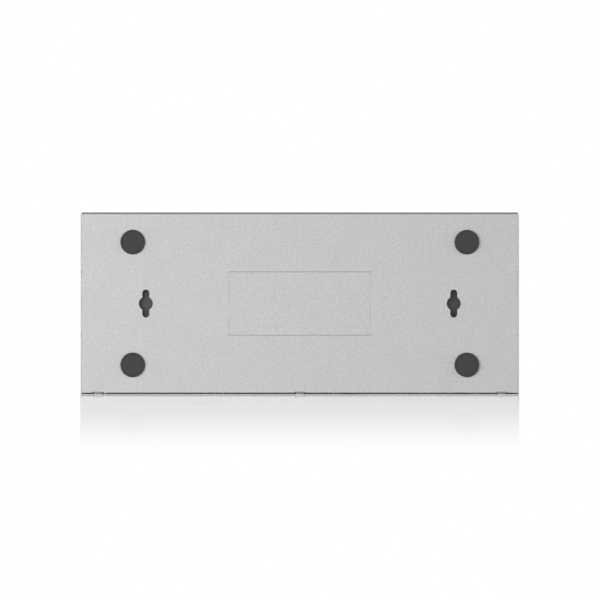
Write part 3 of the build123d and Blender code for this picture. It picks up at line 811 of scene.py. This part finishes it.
@dataclass
class SteelCase(Assembly):
    """Both folded sheets, and the countersunk screws at the sides."""

    head_radius: float = 2.5 * MM
    head_depth: float = 1.05 * MM
    head_rim: float = 0.1 * MM
    head_rim_drop: float = 0.08 * MM
    shank_radius: float = 1.45 * MM
    screw_length: float = 5.0 * MM
    tip_length: float = 0.6 * MM
    tip_taper: float = 0.5 * MM
    recess_span: float = 2.7 * MM
    recess_width: float = 0.62 * MM
    recess_depth: float = 1.3 * MM
    recess_overshoot: float = 1.0 * MM

    def build(self) -> None:
        """Dresses the sheets and builds the screws."""
        self.dress_nodes("case_paint", ["base_chassis", "top_cover"])
        self.build_screws()

    def build_screws(self) -> None:
        """One object with both screws, each with a cross recess."""
        low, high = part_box("cover_screws")
        middle_y, middle_z = (low.y + high.y) / 2, (low.z + high.z) / 2
        length = self.screw_length
        faces_x = {hand: low.x if hand is Hand.LEFT else high.x for hand in Hand}
        body = bmesh.new()
        for hand, face_x in faces_x.items():
            turn = Matrix.Translation((face_x, middle_y, middle_z)) @ Matrix.Rotation(
                -hand.value * math.pi / 2, 4, "Y")
            lathe(body, [
                (0, 0), (self.head_radius - self.head_rim, 0), (self.head_radius, self.head_rim_drop),
                (self.shank_radius, self.head_depth), (self.shank_radius, length - self.tip_length),
                (self.shank_radius - self.tip_taper, length), (0, length),
            ], turn)
        screws = as_object("side_screws", body)
        long_half, short_half = self.recess_span / 2, self.recess_width / 2
        for half_y, half_z in ((long_half, short_half), (short_half, long_half)):
            bars = bmesh.new()
            for hand, face_x in faces_x.items():
                left, right = sorted((face_x + hand.value * self.recess_overshoot,
                                      face_x - hand.value * self.recess_depth))
                block(bars,
                      (left, middle_y - half_y, middle_z - half_z),
                      (right, middle_y + half_y, middle_z + half_z))
            cut(screws, as_object("side_screw_recess", bars))
        self.settle(screws, "screw_steel", Slot.SCREW, ["cover_screws"])


@dataclass
class RubberFeet(Assembly):
    """Four flat feet with a rounded rim and a shallow moulded ring."""

    radius: float = 7.0 * MM
    height: float = 2.0 * MM
    rim: float = 0.4 * MM
    ring_radius: float = 6.1 * MM
    ring_width: float = 0.35 * MM
    ring_depth: float = 0.12 * MM

    def build(self) -> None:
        """Builds each foot in the place of its node."""
        for row in ("front", "rear"):
            for hand in Hand:
                node = f"foot_{row}_{hand.name.lower()}"
                low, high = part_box(node)
                shape = bmesh.new()
                place = Matrix.Translation(((low.x + high.x) / 2, (low.y + high.y) / 2, 0))
                lathe(shape, self.profile(), place, steps=96)
                pad = as_object(f"{node}_pad", shape, smooth_below=20.0)
                self.settle(pad, "foot_rubber", Slot.RUBBER, [node])

    def profile(self) -> List[Pair]:
        """Radius and height of a foot's rings, from the middle of its face.

        Returns:
            The profile, in metres.
        """
        points: List[Pair] = [(0, 0.0), (self.ring_radius - self.ring_width, 0.0)]
        points += [(self.ring_radius - self.ring_width / 2, self.ring_depth), (self.ring_radius, 0.0)]
        for n in range(ROUND_STEPS + 1):
            angle = math.pi / 2 * n / ROUND_STEPS
            points.append((
                self.radius - self.rim + self.rim * math.sin(angle),
                self.rim - self.rim * math.cos(angle),
            ))
        points += [(self.radius, self.height), (0, self.height)]
        return points


@dataclass
class PortBlocks(Assembly):
    """Two blocks of four sockets, their shields, inserts and sprung wires."""

    wire: float = 0.34 * MM
    pitch: float = 1.02 * MM
    wires: int = 8
    cavity_floor: float = 2.6 * MM
    well: float = 1.6 * MM
    pin_rows: Pair = (16.8 * MM, 18.8 * MM)
    turn_setback: float = 2.5 * MM
    turn_rise: float = 0.75 * MM
    tip_setback: float = 12.0 * MM
    tip_rise: float = 2.15 * MM
    bend: float = 0.6 * MM

    def build(self) -> None:
        """Dresses the blocks and builds the wires of every socket."""
        for number in (1, 2):
            self.dress_nodes("shield_steel", [f"port_block_{number}_shield"])
            self.dress_nodes("black_plastic", [f"port_block_{number}_housing"])
        for port in range(1, 9):
            self.dress_nodes("black_plastic", [f"port_{port}_insert"])
            self.build_wires(port)

    def build_wires(self, port: int) -> None:
        """Builds the eight wires of one socket.

        Args:
            port: number of the socket.
        """
        node = f"port_{port}_contacts"
        low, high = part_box(node)
        middle_x = (low.x + high.x) / 2
        front_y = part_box("port_block_1_housing")[0].y
        floor_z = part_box("circuit_board")[1].z + self.cavity_floor
        leg_z = floor_z - self.well + self.wire / 2
        turn_y = front_y + self.turn_setback
        shape = bmesh.new()
        for n in range(self.wires):
            x = middle_x + (n - (self.wires - 1) / 2) * self.pitch
            pin_y = front_y + self.pin_rows[n % 2]
            path = rounded([
                (pin_y, low.z), (pin_y, leg_z), (turn_y, leg_z), (turn_y, leg_z + self.turn_rise),
                (front_y + self.tip_setback, floor_z + self.tip_rise),
            ], self.bend)
            sweep(shape, [(x, y, z) for y, z in path], self.wire, self.wire)
        self.settle(as_object(f"port_{port}_wires", shape), "contact_gold", Slot.CONTACT, [node])


@dataclass
class PowerSocket(Assembly):
    """The round power socket: body, centre pin and spring."""

    radius: float = 1.05 * MM
    tip: float = 0.5 * MM
    strip: float = 0.3 * MM
    strip_bevel: float = 0.05 * MM

    def build(self) -> None:
        """Dresses the body and the spring, and builds the pin."""
        self.dress_nodes("black_plastic", ["dc_jack_housing"])
        self.dress_nodes("plated_pin", ["dc_jack_spring"])
        low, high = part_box("dc_jack_pin")
        shape = bmesh.new()
        axis = Vector(((low.x + high.x) / 2, low.y, high.z - self.radius))
        turn = Matrix.Translation(axis) @ Matrix.Rotation(-math.pi / 2, 4, "X")
        length = high.y - low.y
        profile: List[Pair] = [(0, 0), (self.radius, 0), (self.radius, length - self.tip)]
        for n in range(1, ROUND_STEPS + 1):
            angle = math.pi / 2 * n / ROUND_STEPS
            profile.append((
                self.radius - self.tip + self.tip * math.cos(angle),
                length - self.tip + self.tip * math.sin(angle),
            ))
        profile.append((0, length))
        lathe(shape, profile, turn, steps=48)
        block(shape, tuple(low), (high.x, low.y + self.strip, high.z), self.strip_bevel)
        self.settle(as_object("power_pin", shape), "plated_pin", Slot.PIN, ["dc_jack_pin"])


@dataclass
class Indicators(Assembly):
    """The lights on the board and the clear guide in front of them."""

    def build(self) -> None:
        """Dresses the guide and the lights."""
        self.dress_nodes("clear_guide", ["light_guide"])
        self.dress_nodes("led_lens", ["power_led"] + [f"port_{n}_led" for n in range(1, 9)])


@dataclass(frozen=True)
class SmallRow:
    """A row of small parts, in millimetres, each lying along or across the case."""

    start: Pair
    count: int
    pitch: float
    across: bool


@dataclass
class BoardParts(Assembly):
    """The circuit board with its larger parts, their leads and the small parts round them."""

    fewest_leads: int = 3
    lead_pitch: float = 0.8 * MM
    lead_margin: float = 1.2 * MM
    lead_width: float = 0.36 * MM
    lead_sheet: float = 0.16 * MM
    lead_bend: float = 0.15 * MM
    lead_path: Tuple[Pair, ...] = ((-0.1, 0.75), (0.5, 0.75), (0.65, 0.12), (1.25, 0.12))
    part_length: float = 1.5 * MM
    part_width: float = 0.8 * MM
    part_height: float = 0.6 * MM
    part_bevel: float = 0.05 * MM
    end_length: float = 0.44 * MM
    end_inset: float = 0.1 * MM
    end_proud: float = 0.02 * MM
    end_bevel: float = 0.04 * MM
    rows: Tuple[SmallRow, ...] = (
        SmallRow((-60, 24), 9, 2.6, False), SmallRow((-40, -22), 8, 2.4, True), SmallRow((10, 28), 10, 2.6, False),
        SmallRow((66, 26), 8, 2.6, True), SmallRow((-20, 4), 7, 2.6, True), SmallRow((84, 8), 6, 2.8, False),
    )
    board_top: float = field(init=False)

    def __post_init__(self) -> None:
        """Takes the level of the board's upper face from the frame."""
        self.board_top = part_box("circuit_board")[1].z

    def build(self) -> None:
        """Dresses the board's nodes and builds the leads and small parts."""
        self.dress_nodes("board", ["circuit_board"])
        self.dress_nodes("film", ["insulation_sheet"])
        self.dress_nodes("plated_steel", ["board_standoffs", "board_screws", "crystal"])
        self.dress_nodes("heat_sink", ["heat_sink"])
        self.dress_nodes("ferrite", ["power_inductor"])
        self.dress_nodes("capacitor_can", ["capacitor_1", "capacitor_2"])
        chips = ["switch_chip", "regulator_chip", "memory_chip"] + [f"transformer_{n}" for n in range(1, 5)]
        self.dress_nodes("chip_plastic", chips)
        self.build_leads(chips)
        self.build_small_parts()

    def build_leads(self, chips: Sequence[str]) -> None:
        """Gull-wing leads along the long sides of every moulded part.

        Args:
            chips: nodes of the moulded parts.
        """
        shape = bmesh.new()
        for node in chips:
            low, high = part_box(node)
            count = max(self.fewest_leads, int((high.x - low.x - self.lead_margin) / self.lead_pitch))
            span = (count - 1) * self.lead_pitch
            for n in range(count):
                x = (low.x + high.x) / 2 - span / 2 + n * self.lead_pitch
                for edge, way in ((low.y, -1), (high.y, 1)):
                    corners = [(edge + way * out * MM, self.board_top + up * MM) for out, up in self.lead_path]
                    path = rounded(corners, self.lead_bend, steps=3)
                    sweep(shape, [(x, y, z) for y, z in path], self.lead_width, self.lead_sheet, steps=4)
        self.settle(as_object("chip_leads", shape), "plated_pin", Slot.PIN)

    def build_small_parts(self) -> None:
        """Rows of small surface parts, each a ceramic body with two metal ends."""
        bodies, ends = bmesh.new(), bmesh.new()
        for row in self.rows:
            for n in range(row.count):
                self.small_part(bodies, ends, (row.start[0] + n * row.pitch) * MM, row.start[1] * MM, row.across)
        self.settle(as_object("small_part_bodies", bodies), "ferrite", Slot.CHIP)
        self.settle(as_object("small_part_ends", ends), "plated_pin", Slot.PIN)

    def small_part(self, bodies: bmesh.types.BMesh, ends: bmesh.types.BMesh, x: float, y: float, across: bool) -> None:
        """Adds one small part.

        Args:
            bodies: mesh for its body.
            ends: mesh for its metal ends.
            x: its middle along the case.
            y: its middle across the case.
            across: whether it lies across the case.
        """
        self.lay(bodies, (x, y), (self.part_length, self.part_width, self.part_height), across, self.part_bevel)
        metal = (self.end_length, self.part_width + 2 * self.end_proud, self.part_height + self.end_proud)
        for way in (-1, 1):
            shift = way * (self.part_length / 2 - self.end_inset)
            spot = (x, y + shift) if across else (x + shift, y)
            self.lay(ends, spot, metal, across, self.end_bevel)

    def lay(self, shape: bmesh.types.BMesh, middle: Pair, size: Point, across: bool, bevel: float) -> None:
        """Lays a box on the board.

        Args:
            shape: the mesh to add to.
            middle: its place along and across the case.
            size: its length, width and height.
            across: whether its length lies across the case.
            bevel: width of the bevel.
        """
        (x, y), (length, width, height) = middle, size
        half_x, half_y = (width / 2, length / 2) if across else (length / 2, width / 2)
        low, high = (x - half_x, y - half_y, self.board_top), (x + half_x, y + half_y, self.board_top + height)
        block(shape, low, high, bevel)


# The studio


@dataclass(frozen=True)
class SoftLamp:
    """A square lamp aimed at the object."""

    name: str
    place: Point
    side: float
    level: float

    def build(self) -> None:
        """Makes the lamp; its level is the share of a facing white surface that it lights."""
        data = bpy.data.lights.new(self.name, "AREA")
        data.shape = "SQUARE"
        data.size = self.side
        distance = Vector(self.place).length
        data.energy = self.level * math.pi ** 2 * distance ** 2
        lamp = bpy.data.objects.new(self.name, data)
        lamp.location = self.place
        lamp.rotation_euler = Vector(self.place).to_track_quat("Z", "Y").to_euler()
        bpy.context.scene.collection.objects.link(lamp)


@dataclass
class Studio:
    """Camera below the plate, pale floor, lamps and white surroundings."""

    frame_pixels: float = 600.0
    pixel: float = 0.5703 * MM
    plate_z: float = 2.0 * MM
    aim_x: float = -0.11 * MM
    aim_y: float = 2.02 * MM
    distance: float = 2.2
    sensor: float = 36.0
    floor_colour: Colour = (0.95, 0.95, 0.95)
    floor_drop: float = 0.05 * MM
    floor_radius: float = 3.0
    floor_fade: Pair = (0.13, 0.5)
    ambient: float = 0.32
    mirrored_ambient: float = 0.62
    dark_sides: float = 0.92
    dark_sides_fade: Pair = (0.3, 0.8)
    dark_below_fade: Pair = (0.3, 0.0)
    dark_ceiling: float = 0.6
    dark_ceiling_fade: Pair = (0.6, 0.95)
    mirror_y: float = -51.85 * MM
    mirror_half: float = 125.0 * MM
    mirrored: Tuple[Pair, ...] = (
        (0.0, 0.62), (1.5, 0.5), (3.0, 0.36), (4.66, 0.22), (7.0, 0.09), (9.2, 0.035), (24.0, 0.02), (33.0, 0.0))
    # Grey of the painted reflection by reflected height, in millimetres; 1 lets the white through.
    sheen: Tuple[Pair, ...] = (
        (0.0, 1.0), (1.5, 0.93), (3.0, 0.865), (4.66, 0.81), (9.2, 0.795), (14.9, 0.845), (20.6, 0.912),
        (26.3, 0.965), (33.0, 1.0))
    lamps: Tuple[SoftLamp, ...] = (
        SoftLamp("underside_key", (0.42, 0.04, -0.93), 0.5, 0.46),
        SoftLamp("underside_fill", (-0.7, 0.0, -1.5), 1.0, 0.12),
        SoftLamp("underside_front", (-0.1, 0.0, -2.7), 1.2, 0.12),
        SoftLamp("left_rim", (2.0, 0.0, -0.4), 0.5, 0.06),
        SoftLamp("right_rim", (-2.0, 0.0, -0.4), 0.5, 0.16),
        SoftLamp("top_key", (-0.9, -1.1, 1.7), 1.1, 0.34),
        SoftLamp("front_fill", (0.5, -1.9, 1.0), 1.2, 0.34),
        SoftLamp("side_fill", (1.6, -0.5, 1.0), 1.3, 0.2),
        SoftLamp("rear_fill", (-0.8, 1.5, 1.5), 1.3, 0.36),
    )

    def build(self) -> None:
        """Builds everything round the object."""
        scene = bpy.context.scene
        scene.view_settings.view_transform = "Standard"
        self.build_camera()
        self.build_world()
        self.build_floor()
        self.build_mirror()
        for lamp in self.lamps:
            lamp.build()

    def build_camera(self) -> None:
        """A long lens that looks straight up at the plate, with the rear of the case at the top."""
        data = bpy.data.cameras.new("camera")
        width = self.frame_pixels * self.pixel
        data.sensor_width = self.sensor
        data.lens = self.sensor * self.distance / width
        data.clip_end = 50.0
        camera = bpy.data.objects.new("camera", data)
        camera.location = (self.aim_x, self.aim_y, self.plate_z - self.distance)
        camera.rotation_euler = Matrix((
            (-1, 0, 0),
            (0, 1, 0),
            (0, 0, -1),
        )).to_euler()
        bpy.context.scene.collection.objects.link(camera)
        bpy.context.scene.camera = camera

    def build_world(self) -> None:
        """White to the camera and through clear plastic; as light, dark at the front and rear below the table."""
        world = bpy.data.worlds.new("surroundings")
        bpy.context.scene.world = world
        world.use_nodes = True
        nodes = Nodes(world.node_tree)
        output = nodes.add("ShaderNodeOutputWorld")
        light = nodes.feed(nodes.add("ShaderNodeBackground"), Color=(1, 1, 1, 1))
        axes = nodes.axes("Generated")
        sideways = nodes.soft_step(nodes.maths("ABSOLUTE", axes.outputs["Y"]), *self.dark_sides_fade)
        below = nodes.soft_step(axes.outputs["Z"], *self.dark_below_fade)
        rays = nodes.add("ShaderNodeLightPath")
        glossy = rays.outputs["Is Glossy Ray"]
        softer = nodes.maths("SUBTRACT", self.dark_sides, nodes.maths("MULTIPLY", glossy, self.dark_sides / 2))
        dark = nodes.maths("MULTIPLY", nodes.maths("MULTIPLY", sideways, below), softer)
        above = nodes.soft_step(axes.outputs["Z"], *self.dark_ceiling_fade)
        ceiling = nodes.maths("MULTIPLY", above, self.dark_ceiling)
        level = nodes.maths("SUBTRACT", nodes.maths("SUBTRACT", 1.0, dark), ceiling, clamp=True)
        shine = nodes.maths("MULTIPLY", glossy, self.mirrored_ambient - self.ambient)
        lit = nodes.maths("MULTIPLY", level, nodes.maths("ADD", shine, self.ambient))
        seen = nodes.maths("MAXIMUM", rays.outputs["Is Camera Ray"], rays.outputs["Is Transmission Ray"])
        nodes.join(nodes.maths("MAXIMUM", seen, lit), light.inputs["Strength"])
        nodes.join(light.outputs[0], output.inputs["Surface"])

    def build_floor(self) -> None:
        """A pale disc under the feet, seen from above only, that turns white away from the object."""
        shape = bmesh.new()
        bmesh.ops.create_circle(shape, cap_ends=True, segments=96, radius=self.floor_radius)
        floor = as_object("floor", shape)
        floor.location.z = -self.floor_drop
        material, nodes, surface = new_material("floor")
        pale = nodes.feed(nodes.add("ShaderNodeBsdfDiffuse"), Color=(*self.floor_colour, 1))
        rays = nodes.add("ShaderNodeLightPath")
        white = nodes.feed(nodes.add("ShaderNodeEmission"), Strength=rays.outputs["Is Camera Ray"])
        far = nodes.feed(nodes.add("ShaderNodeVectorMath", operation="LENGTH"), Vector=nodes.where())
        top = nodes.mix_shaders(nodes.soft_step(far.outputs["Value"], *self.floor_fade), pale, white)
        clear = nodes.add("ShaderNodeBsdfTransparent")
        below = nodes.add("ShaderNodeNewGeometry").outputs["Backfacing"]
        nodes.join(nodes.mix_shaders(below, top, clear).outputs[0], surface)
        floor.data.materials.append(material)
        self.hide_from_light(floor)

    def hide_from_light(self, sheet: bpy.types.Object) -> None:
        """Leaves a sheet visible to the camera alone.

        Args:
            sheet: the floor or the table.
        """
        sheet.visible_diffuse = False
        sheet.visible_glossy = False
        sheet.visible_transmission = False
        sheet.visible_shadow = False

    def build_mirror(self) -> None:
        """The glossy table that the case stands on in the photograph, on its front face.

        It lies below the floor, so only the camera beneath sees it: a real reflection that is clear where
        the case touches it, and a painted grey reflection that fades into the white surroundings.
        """
        eye = self.aim_y - self.mirror_y
        last = self.share(self.sheen[-1][0], eye)
        deep = last * self.distance
        wide, narrow = self.mirror_half, self.mirror_half * (1 - last)
        shape = bmesh.new()
        corners = [(-wide, 0.0), (wide, 0.0), (narrow, -deep), (-narrow, -deep)]
        shape.faces.new([shape.verts.new((x, self.mirror_y, z)) for x, z in corners])
        table = as_object("glossy_table", shape)
        material, nodes, surface = new_material("glossy_table")
        gloss = nodes.feed(nodes.add("ShaderNodeBsdfGlossy"), Color=(1, 1, 1, 1), Roughness=0.0)
        far = nodes.maths("DIVIDE", nodes.axes().outputs["Z"], -deep)
        clearness = nodes.ramp(far, [(self.share(h, eye) / last, grey) for h, grey in self.sheen])
        # Painted reflection: a grey veil over the white surroundings that fades away from the case.
        painted_reflection = nodes.feed(nodes.add("ShaderNodeBsdfTransparent"), Color=clearness)
        mirrored = nodes.ramp(far, [(self.share(h, eye) / last, part) for h, part in self.mirrored])
        nodes.join(nodes.mix_shaders(mirrored, painted_reflection, gloss).outputs[0], surface)
        table.data.materials.append(material)
        self.hide_from_light(table)

    def share(self, height: float, eye: float) -> float:
        """How far along the way from the plate to the camera a reflected height is seen.

        Args:
            height: reflected height above the table, in millimetres.
            eye: the camera's height above the table, in metres.

        Returns:
            A share from 0 to 1.
        """
        return height * MM / (eye + height * MM)


def main() -> None:
    """Builds the pieces in order, then the studio."""
    logging.basicConfig(level=logging.INFO, format="%(name)s: %(message)s")
    palette = Palette()
    for assembly in (SteelCase, RubberFeet, PortBlocks, PowerSocket, Indicators, BoardParts):
        LOG.info("building %s", assembly.__name__)
        assembly(palette).build()
    Studio().build()


if __name__ == "__main__":
    main()
